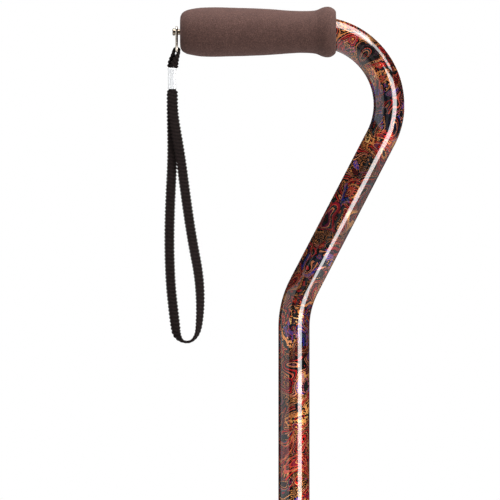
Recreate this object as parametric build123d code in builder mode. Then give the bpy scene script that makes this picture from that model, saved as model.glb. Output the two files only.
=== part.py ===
"""Quad walking cane: a bent tube handle that telescopes on a four-footed base.

Millimetres, +Z up. The origin is on the floor under the shaft's axis, the handle lies
in the XZ plane, and the grip's closed end and the wrist strap are on the -X side.
"""

from build123d import *
import math
import os

os.makedirs("parts", exist_ok=True)

# ---- Driving dimensions --------------------------------------------------------------

touch_gap = 0.05  # between faces that bear on each other in one assembly
free_gap = 0.3  # between pieces that move past each other

# Handle tube: 7/8 inch aluminium, bent twice
tube_r = 22.225 / 2
tube_wall = 1.2
tube_low_z = 230.0
lower_bend = (0.0, 651.4)
upper_bend = (100.9, 846.0)
lower_bend_radius = 63.5
upper_bend_radius = 51.5
handle_z = upper_bend[1]
tube_end_x = -78.0
tube_bore_r = tube_r - tube_wall

# Height setting: a snap button in one of seven holes an inch apart
hole_pitch = 25.4
hole_count = 7
holes_below_rest = 3
hole_r = 3.4
button_z = 330.0
button_r = hole_r - free_gap
button_proud = 1.9
button_flange_r = 4.0
button_flange_y = 7.0
button_flange_thick = 0.95

# Foam grip
grip_low_x = -81.1
grip_length = 111.0
grip_body_r = 17.65
grip_waist_r = 14.9
grip_rim_r = 18.05
grip_mouth_r = 14.0

# Strap hardware and webbing
screw_r = 2.0
screw_head_r = 2.6
screw_head_x = (-86.5, -84.8)
screw_tail_x = -65.0
plug_length = 15.0
plug_flange = 1.5
wire_r = 0.9
link_x = -83.5
link_width = 9.4
link_low_z = 832.3
link_corner_r = 2.0
crimp_size = (5.9, 5.4, 15.0)
crimp_x = -86.75
crimp_top_z = 820.4
crimp_low_z = crimp_top_z - crimp_size[2]
web_thick = 1.0
web_width = 5.4
strap_tube_r = 1.6
strap_side_y = 1.65  # half the spacing of the two strands at the crimp

# Base: stem, plate, two bent leg tubes, four feet
stem_r = 19.05 / 2
stem_wall = 1.2
stem_top_z = 375.0
stem_bore_r = stem_r - stem_wall
foot_x = 89.0
foot_y = 63.5
leg_r = 6.35
leg_wall = 1.5
leg_z = 67.5
leg_low_z = 8.0
leg_bend_radius = 31.75
leg_vertex_y = 5.0
plate_length = 101.6
plate_depth = 66.0
plate_thick = 3.0
plate_cut_x = 11.0
plate_cut_y = 16.0
plate_corner_r = 4.0
plate_low_z = leg_z + leg_r + touch_gap
plate_top_z = plate_low_z + plate_thick

# Rubber tips
tip_height = 29.0
tip_rim_height = 10.3
tip_rim_r = (14.6, 14.0)
tip_body_r = (12.8, 11.3)
tip_washer_r = 7.0
tip_washer_z = (6.4, 7.9)

# Hub: socket, locknut, bolt
neck_r = 11.3
neck_top_z = plate_top_z + 18.0
nut_top_z = plate_top_z + 21.2
hub_bolt_r = 4.0
hub_bolt_top_z = plate_top_z + 16.0
washer_r = 13.0
washer_thick = 1.0
bolt_head_r = 7.0
bolt_head_height = 2.6

# Anti-rattle lock at the handle tube's lower end
collet_r = 13.2
collet_low_z = tube_low_z - 8.0
collet_top_z = tube_low_z + 16.0
lock_nut_low_z = collet_low_z - 3.0
lock_nut_top_z = tube_low_z + 13.0
slot_width = 1.5

# ---- Shared shapes -------------------------------------------------------------------


def upright_plane(x, y):
    """Plane through a vertical axis, for a profile of radius and height."""
    return Plane(origin=(x, y, 0), x_dir=(1, 0, 0), z_dir=(0, -1, 0))


def start_plane(path):
    """Plane square to a path at its start."""
    return Plane(origin=path @ 0, z_dir=path % 0)


def cord_radii(points):
    """The largest arc that the runs beside each corner of a limp cord's route leave room for."""
    radii = []
    for before, corner, after in zip(points, points[1:], points[2:]):
        run_in = Vector(corner) - Vector(before)
        run_out = Vector(after) - Vector(corner)
        half_turn = math.radians(run_in.get_angle(run_out)) / 2
        radii.append(0.45 * min(run_in.length, run_out.length) / math.tan(half_turn))
    return radii


# ---- Handle: tube, grip, end plug, strap screw, collet -------------------------------

with BuildPart() as handle_tube:
    with BuildLine() as handle_path:
        FilletPolyline(
            (0, 0, tube_low_z),
            (lower_bend[0], 0, lower_bend[1]),
            (upper_bend[0], 0, upper_bend[1]),
            (tube_end_x, 0, handle_z),
            radius=[lower_bend_radius, upper_bend_radius],
        )
    with BuildSketch(start_plane(handle_path.line)):
        Circle(tube_r)
        Circle(tube_bore_r, mode=Mode.SUBTRACT)
    sweep(path=handle_path.line)
    with BuildSketch(Plane.XZ):
        for i in range(hole_count):
            with Locations((0, button_z + (i - holes_below_rest) * hole_pitch)):
                Circle(hole_r)
    extrude(amount=tube_r + 1, mode=Mode.SUBTRACT)
handle_tube.part.label = "handle_tube"
export_step(handle_tube.part, "parts/handle_tube.step")

handle_axis = Axis((0, 0, handle_z), (1, 0, 0))
with BuildPart() as foam_grip:
    with BuildSketch(Plane(origin=(grip_low_x, 0, handle_z), z_dir=(0, -1, 0), x_dir=(1, 0, 0))):
        with BuildLine():
            Line((0, 0), (0, 8.9))
            Spline(
                (0, 8.9), (1.8, 13.75), (7.5, 16.2), (24.6, grip_body_r), tangents=((0, 1), (1, 0))
            )
            Spline(
                (24.6, grip_body_r), (58.7, 16.6), (88.6, grip_waist_r), tangents=((1, 0), (1, 0))
            )
            Spline(
                (88.6, grip_waist_r),
                (97, 15.6),
                (101.5, 17.45),
                (104.3, grip_rim_r),
                tangents=((1, 0), (1, 0)),
            )
            Spline(
                (104.3, grip_rim_r),
                (109.3, 16.6),
                (grip_length, grip_mouth_r),
                tangents=((1, 0), (0, -1)),
            )
            Line((grip_length, grip_mouth_r), (grip_length, 0))
            Line((grip_length, 0), (0, 0))
        make_face()
    revolve(axis=handle_axis)
    with BuildLine() as bore_path:
        FilletPolyline(
            (tube_end_x - plug_flange, 0, handle_z),
            (upper_bend[0], 0, upper_bend[1]),
            (lower_bend[0], 0, lower_bend[1]),
            radius=upper_bend_radius,
        )
    with BuildSketch(start_plane(bore_path.line)):
        Circle(tube_r)
    sweep(path=bore_path.line, mode=Mode.SUBTRACT)
    with BuildSketch(Plane.YZ.offset(grip_low_x)):
        with Locations((0, handle_z)):
            Circle(screw_r + touch_gap)
    extrude(amount=5, mode=Mode.SUBTRACT)
foam_grip.part.label = "foam_grip"
export_step(foam_grip.part, "parts/foam_grip.step")

with BuildPart() as grip_end_plug:
    with BuildSketch(Plane(origin=(tube_end_x, 0, handle_z), x_dir=(1, 0, 0), z_dir=(0, -1, 0))):
        with BuildLine():
            Polyline(
                (-plug_flange, screw_r + touch_gap),
                (-plug_flange, tube_r - touch_gap),
                (-touch_gap, tube_r - touch_gap),
                (-touch_gap, tube_bore_r - touch_gap),
                (plug_length - 0.8, tube_bore_r - touch_gap),
                (plug_length, tube_bore_r - 0.8),
                (plug_length, screw_r + touch_gap),
                close=True,
            )
        make_face()
    revolve(axis=handle_axis)
grip_end_plug.part.label = "grip_end_plug"
export_step(grip_end_plug.part, "parts/grip_end_plug.step")

with BuildPart() as strap_screw:
    with BuildSketch(Plane(origin=(0, 0, handle_z), x_dir=(1, 0, 0), z_dir=(0, -1, 0))):
        with BuildLine():
            Line((screw_head_x[0], 0), (screw_head_x[0], screw_head_r - 1.2))
            Spline(
                (screw_head_x[0], screw_head_r - 1.2),
                (screw_head_x[0] + 1.0, screw_head_r),
                tangents=((0, 1), (1, 0)),
            )
            Polyline(
                (screw_head_x[0] + 1.0, screw_head_r),
                (screw_head_x[1], screw_head_r),
                (screw_head_x[1], screw_r),
                (screw_tail_x - 0.8, screw_r),
                (screw_tail_x, screw_r - 0.8),
                (screw_tail_x, 0),
                (screw_head_x[0], 0),
            )
        make_face()
    revolve(axis=handle_axis)
strap_screw.part.label = "strap_screw"
export_step(strap_screw.part, "parts/strap_screw.step")

with BuildPart() as collet_bushing:
    with BuildSketch(Plane.XY.offset(collet_low_z)):
        Circle(collet_r)
    extrude(amount=collet_top_z - collet_low_z)
    chamfer(collet_bushing.edges().sort_by(Axis.Z)[0], 1.2)
    with BuildSketch(Plane.XY.offset(tube_low_z - touch_gap)):
        Circle(tube_r + touch_gap)
    extrude(until=Until.LAST, mode=Mode.SUBTRACT)
    with BuildSketch(Plane.XY.offset(collet_low_z)):
        Circle(stem_r + free_gap + touch_gap)
    extrude(until=Until.LAST, mode=Mode.SUBTRACT)
    with BuildSketch(Plane.XY.offset(collet_low_z)):
        Rectangle(2 * collet_r + 2, slot_width)
        Rectangle(slot_width, 2 * collet_r + 2)
    extrude(amount=tube_low_z - collet_low_z - 2, mode=Mode.SUBTRACT)
collet_bushing.part.label = "collet_bushing"
export_step(collet_bushing.part, "parts/collet_bushing.step")

# ---- Lock nut on the collet ----------------------------------------------------------

nut_wall = 2.2
rib_count = 20
rib_r = 0.7
with BuildPart() as lock_nut:
    with BuildSketch(Plane.XY.offset(lock_nut_low_z)):
        Circle(collet_r + nut_wall)
    extrude(amount=lock_nut_top_z - lock_nut_low_z)
    chamfer(lock_nut.edges().sort_by(Axis.Z)[0], 4, 1.8)
    fillet(lock_nut.edges().sort_by(Axis.Z)[-1], 0.8)
    with BuildSketch(Plane.XY.offset(collet_low_z + 3)):
        with PolarLocations(collet_r + nut_wall, rib_count):
            Circle(rib_r)
    extrude(amount=lock_nut_top_z - collet_low_z - 5)
    with BuildSketch(Plane.XY.offset(collet_low_z - free_gap)):
        Circle(collet_r + 0.1)
    extrude(until=Until.LAST, mode=Mode.SUBTRACT)
    with BuildSketch(Plane.XY.offset(lock_nut_low_z)):
        Circle(stem_r + 2 * free_gap)
    extrude(until=Until.LAST, mode=Mode.SUBTRACT)
lock_nut.part.label = "lock_nut"
export_step(lock_nut.part, "parts/lock_nut.step")

# ---- Wrist strap: link, crimp, webbing -----------------------------------------------

link_high_z = handle_z + screw_r + free_gap + wire_r
with BuildPart() as strap_link:
    with BuildLine(Plane.YZ.offset(link_x)) as link_path:
        FilletPolyline(
            (link_width / 2, link_low_z),
            (link_width / 2, link_high_z),
            (-link_width / 2, link_high_z),
            (-link_width / 2, link_low_z),
            radius=link_corner_r,
            close=True,
        )
    with BuildSketch(start_plane(link_path.line)):
        Circle(wire_r)
    sweep(path=link_path.line)
strap_link.part.label = "strap_link"
export_step(strap_link.part, "parts/strap_link.step")

with BuildPart() as strap_crimp:
    with BuildSketch(Plane.XY.offset(crimp_low_z)):
        with Locations((crimp_x, 0)):
            RectangleRounded(crimp_size[0], crimp_size[1], 1.8)
    extrude(amount=crimp_size[2])
strap_crimp.part.label = "strap_crimp"
export_step(strap_crimp.part, "parts/strap_crimp.step")

# The short loop turns over the link's lower bar, and both its ends go into the crimp.
upper_loop_half = wire_r + free_gap + web_thick / 2
upper_loop_top_z = link_low_z + upper_loop_half
upper_loop_bend_z = link_low_z - 2.5
upper_loop_foot = 0.55
with BuildPart() as strap_upper_loop:
    with BuildSketch(Plane.XZ):
        with BuildLine():
            FilletPolyline(
                (crimp_x - upper_loop_foot, crimp_top_z),
                (link_x - upper_loop_half, upper_loop_bend_z),
                (link_x - upper_loop_half, upper_loop_top_z),
                (link_x + upper_loop_half, upper_loop_top_z),
                (link_x + upper_loop_half, upper_loop_bend_z),
                (crimp_x + upper_loop_foot, crimp_top_z),
                radius=[3.0, 1.5, 1.5, 3.0],
            )
        trace(line_width=web_thick)
        with Locations((crimp_x, crimp_top_z)):
            Rectangle(20, 20, align=(Align.CENTER, Align.MAX), mode=Mode.SUBTRACT)
    extrude(amount=web_width / 2, both=True)
strap_upper_loop.part.label = "strap_upper_loop"
export_step(strap_upper_loop.part, "parts/strap_upper_loop.step")

# Route of the wrist loop's middle line, down the back strand and up the front one
strap_route = [
    (-87.0, strap_side_y, crimp_low_z),
    (-87.0, strap_side_y, 788),
    (-86.4, 1.6, 758),
    (-88.1, 1.4, 727),
    (-88.9, 1.1, 697),
    (-88.0, 0.8, 668),
    (-86.0, 0.5, 649),
    (-84.5, 0.3, 637),
    (-83.6, 0.2, 630.4),
    (-79.4, 0.1, 625.3),
    (-73.0, -0.1, 625.3),
    (-68.8, -0.2, 630.6),
    (-67.4, -0.3, 638),
    (-66.5, -0.6, 653),
    (-67.6, -0.8, 673),
    (-72.5, -1.1, 698),
    (-76.8, -1.4, 727),
    (-80.8, -1.6, 758),
    (-86.0, -strap_side_y, 787),
    (-86.0, -strap_side_y, crimp_low_z),
]
strap_radii = cord_radii(strap_route)
with BuildPart() as strap_loop:
    with BuildLine() as strap_path:
        FilletPolyline(*strap_route, radius=strap_radii)
    with BuildSketch(start_plane(strap_path.line)):
        Circle(strap_tube_r)
    sweep(path=strap_path.line)
strap_loop.part.label = "strap_loop"
export_step(strap_loop.part, "parts/strap_loop.step")
print("strap radii", [round(radius, 1) for radius in strap_radii])
strap_length = sum(edge.length for edge in strap_path.edges())
strap_volume = math.pi * strap_tube_r**2 * strap_length
print("strap length", round(strap_length, 1))
print("strap volume", round(strap_loop.part.volume), "section times length", round(strap_volume))

# ---- Stem: tube, foot plug, top guide ------------------------------------------------

stem_low_z = plate_top_z + touch_gap
with BuildPart() as stem_tube:
    with BuildSketch(Plane.XY.offset(stem_low_z)):
        Circle(stem_r)
        Circle(stem_bore_r, mode=Mode.SUBTRACT)
    extrude(amount=stem_top_z - stem_low_z)
    with BuildSketch(Plane.XZ):
        with Locations((0, button_z)):
            Circle(hole_r)
    extrude(amount=stem_r + 1, mode=Mode.SUBTRACT)
stem_tube.part.label = "stem_tube"
export_step(stem_tube.part, "parts/stem_tube.step")

stem_plug_height = 20.0
with BuildPart() as stem_plug:
    with BuildSketch(Plane.XY.offset(stem_low_z)):
        Circle(stem_bore_r - touch_gap)
        Circle(hub_bolt_r + touch_gap, mode=Mode.SUBTRACT)
    extrude(amount=stem_plug_height)
stem_plug.part.label = "stem_plug"
export_step(stem_plug.part, "parts/stem_plug.step")

guide_head = 5.0
guide_spigot = 12.0
with BuildPart() as stem_guide:
    with BuildSketch(Plane.XY.offset(stem_top_z - guide_spigot)):
        Circle(stem_bore_r - touch_gap)
    extrude(amount=guide_spigot)
    with BuildSketch(Plane.XY.offset(stem_top_z + touch_gap)):
        Circle(tube_bore_r - touch_gap)
    extrude(amount=guide_head)
    chamfer(stem_guide.edges().sort_by(Axis.Z)[-1], 1)
    with BuildSketch(Plane.XY.offset(stem_top_z - guide_spigot)):
        Circle(stem_bore_r - 3)
    extrude(until=Until.LAST, mode=Mode.SUBTRACT)
    with BuildSketch(Plane.XY.offset(stem_top_z)):
        Circle(stem_bore_r - touch_gap)
        Circle(stem_bore_r - 3, mode=Mode.SUBTRACT)
    extrude(amount=touch_gap)
stem_guide.part.label = "stem_guide"
export_step(stem_guide.part, "parts/stem_guide.step")

# ---- Snap button and its folded leaf spring ------------------------------------------

leaf_thick = 0.6
leaf_width = 6.0
leaf_low_z = button_z - 34
leaf_high_z = button_z + 8
leaf_front_y = button_flange_y - button_flange_thick - touch_gap - leaf_thick / 2
leaf_rear_y = 7.0
with BuildPart() as snap_spring:
    with BuildSketch(Plane.YZ):
        with BuildLine():
            FilletPolyline(
                (-leaf_front_y, leaf_high_z),
                (-leaf_front_y, button_z - 8),
                (-1.6, leaf_low_z),
                (1.6, leaf_low_z),
                (leaf_rear_y, button_z - 8),
                (leaf_rear_y, leaf_high_z),
                radius=1.5,
            )
        trace(line_width=leaf_thick)
    extrude(amount=leaf_width / 2, both=True)
snap_spring.part.label = "snap_spring"
export_step(snap_spring.part, "parts/snap_spring.step")

with BuildPart() as snap_button:
    with BuildSketch(Plane.XZ.offset(button_flange_y - button_flange_thick)):
        with Locations((0, button_z)):
            Circle(button_flange_r)
    extrude(amount=button_flange_thick)
    with BuildSketch(Plane.XZ.offset(button_flange_y)):
        with Locations((0, button_z)):
            Circle(button_r)
    extrude(amount=tube_r + button_proud - button_flange_y)
    fillet(snap_button.edges().sort_by(Axis.Y)[0], 1.8)
snap_button.part.label = "snap_button"
export_step(snap_button.part, "parts/snap_button.step")

# ---- Hub: socket, locknut, bolt, washer ----------------------------------------------

with BuildPart() as hub_socket:
    with BuildSketch(Plane.XY.offset(plate_top_z)):
        Circle(neck_r)
        Circle(stem_r + touch_gap, mode=Mode.SUBTRACT)
    extrude(amount=neck_top_z - plate_top_z)
    chamfer(hub_socket.edges().group_by(Axis.Z)[-1].sort_by(SortBy.RADIUS)[-1], 0.8)
    with BuildSketch(Plane.XY.offset(neck_top_z)):
        Rectangle(2 * neck_r + 2, slot_width)
        Rectangle(slot_width, 2 * neck_r + 2)
    extrude(amount=-10, mode=Mode.SUBTRACT)
hub_socket.part.label = "hub_socket"
export_step(hub_socket.part, "parts/hub_socket.step")

nut_low_z = plate_top_z + free_gap
nut_shoulder_z = plate_top_z + 9.0
nut_grip_r = 12.6
nut_shoulder_r = 14.4
nut_top_r = 13.0
with BuildPart() as hub_locknut:
    with BuildSketch(upright_plane(0, 0)):
        with BuildLine():
            Polyline(
                (0, nut_low_z),
                (nut_grip_r, nut_low_z),
                (nut_grip_r, nut_shoulder_z - 1.6),
                (nut_shoulder_r, nut_shoulder_z),
                (nut_top_r, nut_top_z - 1.4),
                (nut_top_r - 1.4, nut_top_z),
                (0, nut_top_z),
                close=True,
            )
        make_face()
    revolve(axis=Axis.Z)
    with BuildSketch(Plane.XY.offset(nut_low_z)):
        with PolarLocations(nut_grip_r, rib_count):
            Circle(rib_r)
    extrude(amount=nut_shoulder_z - 1.2 - nut_low_z)
    with BuildSketch(Plane.XY.offset(nut_low_z)):
        Circle(neck_r + 0.1)
    extrude(amount=neck_top_z + free_gap - nut_low_z, mode=Mode.SUBTRACT)
    with BuildSketch(Plane.XY.offset(nut_low_z)):
        Circle(stem_r + free_gap)
    extrude(until=Until.LAST, mode=Mode.SUBTRACT)
hub_locknut.part.label = "hub_locknut"
export_step(hub_locknut.part, "parts/hub_locknut.step")

washer_top_z = leg_z - leg_r - touch_gap
bolt_head_top_z = washer_top_z - washer_thick
with BuildPart() as saddle_washer:
    with BuildSketch(Plane.XY.offset(washer_top_z)):
        Circle(washer_r)
        Circle(hub_bolt_r + free_gap, mode=Mode.SUBTRACT)
    extrude(amount=-washer_thick)
saddle_washer.part.label = "saddle_washer"
export_step(saddle_washer.part, "parts/saddle_washer.step")

socket_hex_r = 2.9
with BuildPart() as hub_bolt:
    with BuildSketch(Plane.XY.offset(bolt_head_top_z)):
        Circle(bolt_head_r)
    extrude(amount=-bolt_head_height)
    fillet(hub_bolt.edges().sort_by(Axis.Z)[0], 1.8)
    with BuildSketch(Plane.XY.offset(bolt_head_top_z)):
        Circle(hub_bolt_r)
    extrude(amount=hub_bolt_top_z - bolt_head_top_z)
    chamfer(hub_bolt.edges().sort_by(Axis.Z)[-1], 0.8)
    with BuildSketch(Plane.XY.offset(bolt_head_top_z - bolt_head_height)):
        RegularPolygon(socket_hex_r, 6)
    extrude(amount=2, mode=Mode.SUBTRACT)
hub_bolt.part.label = "hub_bolt"
export_step(hub_bolt.part, "parts/hub_bolt.step")

# ---- Plate and legs ------------------------------------------------------------------

with BuildPart() as base_plate:
    with BuildSketch(Plane.XY.offset(plate_low_z)) as plate_outline:
        with BuildLine():
            Polyline(
                (plate_length / 2, plate_depth / 2 - plate_cut_y),
                (plate_length / 2 - plate_cut_x, plate_depth / 2),
                (plate_cut_x - plate_length / 2, plate_depth / 2),
                (-plate_length / 2, plate_depth / 2 - plate_cut_y),
                (-plate_length / 2, plate_cut_y - plate_depth / 2),
                (plate_cut_x - plate_length / 2, -plate_depth / 2),
                (plate_length / 2 - plate_cut_x, -plate_depth / 2),
                (plate_length / 2, plate_cut_y - plate_depth / 2),
                close=True,
            )
        make_face()
        fillet(plate_outline.vertices(), plate_corner_r)
        Circle(hub_bolt_r + free_gap, mode=Mode.SUBTRACT)
    extrude(amount=plate_thick)
    fillet(base_plate.faces().sort_by(Axis.Z)[-1].outer_wire().edges(), 0.8)
base_plate.part.label = "base_plate"
export_step(base_plate.part, "parts/base_plate.step")

for side, y_sign in (("front", -1), ("rear", 1)):
    with BuildPart() as leg_tube:
        with BuildLine() as leg_path:
            FilletPolyline(
                (-foot_x, y_sign * foot_y, leg_low_z),
                (-foot_x, y_sign * foot_y, leg_z),
                (0, y_sign * leg_vertex_y, leg_z),
                (foot_x, y_sign * foot_y, leg_z),
                (foot_x, y_sign * foot_y, leg_low_z),
                radius=leg_bend_radius,
            )
        with BuildSketch(start_plane(leg_path.line)):
            Circle(leg_r)
            Circle(leg_r - leg_wall, mode=Mode.SUBTRACT)
        sweep(path=leg_path.line)
    leg_tube.part.label = f"{side}_leg_tube"
    export_step(leg_tube.part, f"parts/{side}_leg_tube.step")

# ---- Rubber tips and the steel discs in them -----------------------------------------

feet = {
    "front_left": (-foot_x, -foot_y),
    "front_right": (foot_x, -foot_y),
    "rear_left": (-foot_x, foot_y),
    "rear_right": (foot_x, foot_y),
}
groove_depth = 1.2
groove_width = 1.5
for foot, (x, y) in feet.items():
    with BuildPart() as tip:
        with BuildSketch(upright_plane(x, y)):
            with BuildLine():
                Polyline(
                    (0, 0),
                    (tip_rim_r[0] - 1.2, 0),
                    (tip_rim_r[0], 1.2),
                    (tip_rim_r[1], tip_rim_height - 0.8),
                    (tip_rim_r[1] - 0.8, tip_rim_height),
                    (tip_body_r[0], tip_rim_height),
                    (tip_body_r[1], tip_height - 0.8),
                    (tip_body_r[1] - 0.8, tip_height),
                    (0, tip_height),
                    close=True,
                )
            make_face()
        revolve(axis=Axis((x, y, 0), (0, 0, 1)))
        with BuildSketch(Plane(origin=(x, y, tip_washer_z[0]))):
            Circle(leg_r + touch_gap)
        extrude(amount=tip_height, mode=Mode.SUBTRACT)
        with BuildSketch(Plane(origin=(x, y, tip_washer_z[0]))):
            Circle(tip_washer_r)
        extrude(amount=tip_washer_z[1] - tip_washer_z[0], mode=Mode.SUBTRACT)
        with BuildSketch(Plane(origin=(x, y, 0))):
            for radius in (5.0, 9.0):
                Circle(radius + groove_width)
                Circle(radius, mode=Mode.SUBTRACT)
        extrude(amount=groove_depth, mode=Mode.SUBTRACT)
    tip.part.label = f"{foot}_tip"
    export_step(tip.part, f"parts/{foot}_tip.step")

with BuildPart() as tip_washers:
    for x, y in feet.values():
        with BuildSketch(Plane(origin=(x, y, tip_washer_z[0] + touch_gap))):
            Circle(tip_washer_r - touch_gap)
        extrude(amount=tip_washer_z[1] - tip_washer_z[0] - 2 * touch_gap)
tip_washers.part.label = "tip_washers"
export_step(tip_washers.part, "parts/tip_washers.step")
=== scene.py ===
"""Looks of the quad walking cane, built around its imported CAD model.

The row frame is in metres. Shapes below are written in millimetres and scaled once, where
a mesh is made. The handle lies in the XZ plane and the shaft's axis is the Z axis.
"""

import math

import bmesh
import bpy
import numpy as np
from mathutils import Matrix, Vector, noise


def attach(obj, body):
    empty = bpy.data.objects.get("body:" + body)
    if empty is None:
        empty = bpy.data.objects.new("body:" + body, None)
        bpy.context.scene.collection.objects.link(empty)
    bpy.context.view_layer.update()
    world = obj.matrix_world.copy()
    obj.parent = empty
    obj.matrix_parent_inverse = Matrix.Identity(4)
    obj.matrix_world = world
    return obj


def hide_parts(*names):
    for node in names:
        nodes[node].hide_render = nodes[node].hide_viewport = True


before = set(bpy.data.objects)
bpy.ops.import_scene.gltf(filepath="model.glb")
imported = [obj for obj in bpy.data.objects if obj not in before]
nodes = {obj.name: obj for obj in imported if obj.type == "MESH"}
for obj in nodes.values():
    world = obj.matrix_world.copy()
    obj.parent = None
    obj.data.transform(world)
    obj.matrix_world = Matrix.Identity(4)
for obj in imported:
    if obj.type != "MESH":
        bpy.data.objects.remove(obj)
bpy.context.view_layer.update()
MM = 0.001
FULL_TURN = 2 * math.pi

# ---- Sizes, as in the CAD model ------------------------------------------------------

TUBE_R = 11.1125
TUBE_WALL = 1.2
TUBE_LOW_Z = 230.0
TUBE_END_X = -78.0
HANDLE_Z = 846.0
BENDS = [(0.0, 651.4, 63.5), (100.9, 846.0, 51.5)]  # x, z and radius of each bend
HOLE_R = 3.4
HOLE_PITCH = 25.4
HOLES_EACH_WAY = 3
BUTTON_Z = 330.0
GRIP_LOW_X = -81.1
CRIMP_X = -86.75
CRIMP_Z = (805.4, 820.4)
CRIMP_HALF = (2.95, 2.7)
CRIMP_CORNER = 1.8
FOOT_X = 89.0
FOOT_Y = 63.5
FEET = {  # which side each foot is on, in x and in y
    "front_left": (-1, -1),
    "front_right": (1, -1),
    "rear_left": (-1, 1),
    "rear_right": (1, 1),
}
LEG_VERTEX_Y = 5.0  # where each leg tube passes the middle
STRAP_ROUTE = [
    (-87.0, 1.05, 813.0),
    (-87.0, 1.1, 800.0),
    (-87.0, 1.3, 788.0),
    (-86.4, 1.6, 758.0),
    (-88.1, 1.4, 727.0),
    (-88.9, 1.1, 697.0),
    (-88.0, 0.8, 668.0),
    (-86.0, 0.5, 649.0),
    (-84.5, 0.3, 637.0),
    (-83.6, 0.2, 630.4),
    (-79.4, 0.1, 625.3),
    (-73.0, -0.1, 625.3),
    (-68.8, -0.2, 630.6),
    (-67.4, -0.3, 638.0),
    (-66.5, -0.6, 653.0),
    (-67.6, -0.8, 673.0),
    (-72.5, -1.1, 698.0),
    (-76.8, -1.4, 727.0),
    (-80.8, -1.6, 758.0),
    (-86.0, -1.3, 787.0),
    (-86.3, -1.1, 800.0),
    (-86.4, -1.05, 813.0),
]
UPPER_ROUTE = [
    (-87.1, 1.05, 813.0),
    (-87.3, 1.1, 821.0),
    (-87.1, 1.3, 826.0),
    (-86.1, 1.0, 829.6),
    (-85.5, 0.4, 832.9),
    (-84.8, 0.0, 834.5),
    (-82.2, 0.0, 834.5),
    (-81.7, -0.4, 832.9),
    (-82.7, -1.0, 829.4),
    (-84.3, -1.3, 825.6),
    (-85.6, -1.1, 821.0),
    (-86.4, -1.05, 813.0),
]

# ---- Sizes of the fine detail, in mm -------------------------------------------------

RIB_PITCH = 2.6  # of the webbing's cross ribs
TOOTH_DEPTH = 0.95  # how far its edges draw in between two ribs
GROOVE_DEPTH = 0.14  # how far its faces draw in between two ribs
WEAVE_STEP = 0.24  # between two rings of the webbing
TWIST_BLUR = 30  # steps over which a twist eases in, to each side
ARC_STEP = 1.2  # between two rings of the handle tube's bends, and of its straights
STRAIGHT_STEP = 3.0
TUBE_EDGE = 0.35  # broken edges of the tube's lower end, of its upper end and of its holes
TUBE_TOP_EDGE = 0.3
HOLE_EDGE = 0.25
WELD_STEP = 0.25
WELD_R = 1.35
WELD_Z = 72.6
WELD_LENGTH = 15
WELD_FROM_VERTEX = 17  # along the leg, from the middle of its tube
WELD_ASIDE = 4.6  # from the leg's centre line
WELD_RIPPLE = 1.3


# ---- Meshes --------------------------------------------------------------------------


def add_object(name, data):
    made = bpy.data.objects.new(name, data)
    bpy.context.scene.collection.objects.link(made)
    return made


def run_along(points):
    """Distance from the first point to each point, along the line through them."""
    return np.concatenate([[0], np.cumsum(np.linalg.norm(np.diff(points, axis=0), axis=1))])


def unit_rows(vectors):
    return vectors / np.linalg.norm(vectors, axis=1)[:, None]


def make_mesh(name, points, faces, uv=None, sharp=40.0):
    """An object of points in mm. uv holds one pair, in metres, for each face corner."""
    mesh = bpy.data.meshes.new(name)
    mesh.from_pydata((np.asarray(points) * MM).tolist(), [], faces)
    if uv is not None:
        layer = mesh.uv_layers.new(name="surface")
        layer.data.foreach_set("uv", np.asarray(uv, dtype=np.float32).ravel())
    mesh.validate()
    shape = bmesh.new()
    shape.from_mesh(mesh)
    bmesh.ops.recalc_face_normals(shape, faces=shape.faces)
    shape.to_mesh(mesh)
    shape.free()
    mesh.shade_smooth()
    mesh.set_sharp_from_angle(angle=math.radians(sharp))
    return add_object(name, mesh)


def skin(name, rings, along, around, closed=False, caps=(True, True), sharp=40.0):
    """Joins rings of points into a surface; closed joins the last ring to the first.

    along and around are distances in mm for the surface's map. around, and along where
    the surface is closed, hold one more value than there are points or rings.
    """
    rings = np.asarray(rings, dtype=float)
    count, size = rings.shape[:2]
    faces, uv = [], []
    for i in range(count if closed else count - 1):
        j = (i + 1) % count
        low, high = along[i] * MM, along[i + 1] * MM
        for k in range(size):
            m = (k + 1) % size
            faces.append((i * size + k, i * size + m, j * size + m, j * size + k))
            left, right = around[k] * MM, around[k + 1] * MM
            uv += [(left, low), (right, low), (right, high), (left, high)]
    if not closed:
        for at, wanted in ((0, caps[0]), (count - 1, caps[1])):
            if wanted:
                order = range(size) if at else range(size - 1, -1, -1)
                faces.append([at * size + k for k in order])
                uv += [(around[k] * MM, along[at] * MM) for k in order]
    return make_mesh(name, rings.reshape(-1, 3), faces, uv, sharp)


def smooth_profile(points, steps):
    """A Catmull-Rom curve through the points of a profile."""
    p = np.asarray(points, dtype=float)
    p = np.vstack([2 * p[0] - p[1], p, 2 * p[-1] - p[-2]])
    out = []
    for a, b, c, d in zip(p, p[1:], p[2:], p[3:]):
        square, cube = 2 * a - 5 * b + 4 * c - d, 3 * b - a - 3 * c + d
        for t in np.linspace(0, 1, steps, endpoint=False):
            out.append(0.5 * (2 * b + (c - a) * t + square * t**2 + cube * t**3))
    return np.array(out + [p[-2]])


def lathe(name, profile, segments, origin, axis="Z", sharp=40.0):
    """Turns a closed profile of (radius, height) about a Z or X axis through origin."""
    profile = np.asarray(profile, dtype=float)
    turn = np.linspace(-math.pi, math.pi, segments + 1)
    rings = []
    for radius, height in profile:
        side, front = radius * np.sin(turn[:-1]), -radius * np.cos(turn[:-1])
        level = np.full(segments, height)
        ring = [side, front, level] if axis == "Z" else [level, front, -side]
        rings.append(np.stack(ring, axis=1) + np.asarray(origin))
    lengths = run_along(profile)
    last = lengths[-1] + np.linalg.norm(profile[0] - profile[-1])
    widest = profile[:, 0].max()
    return skin(name, rings, [*lengths, last], turn * widest, closed=True, sharp=sharp)


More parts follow.
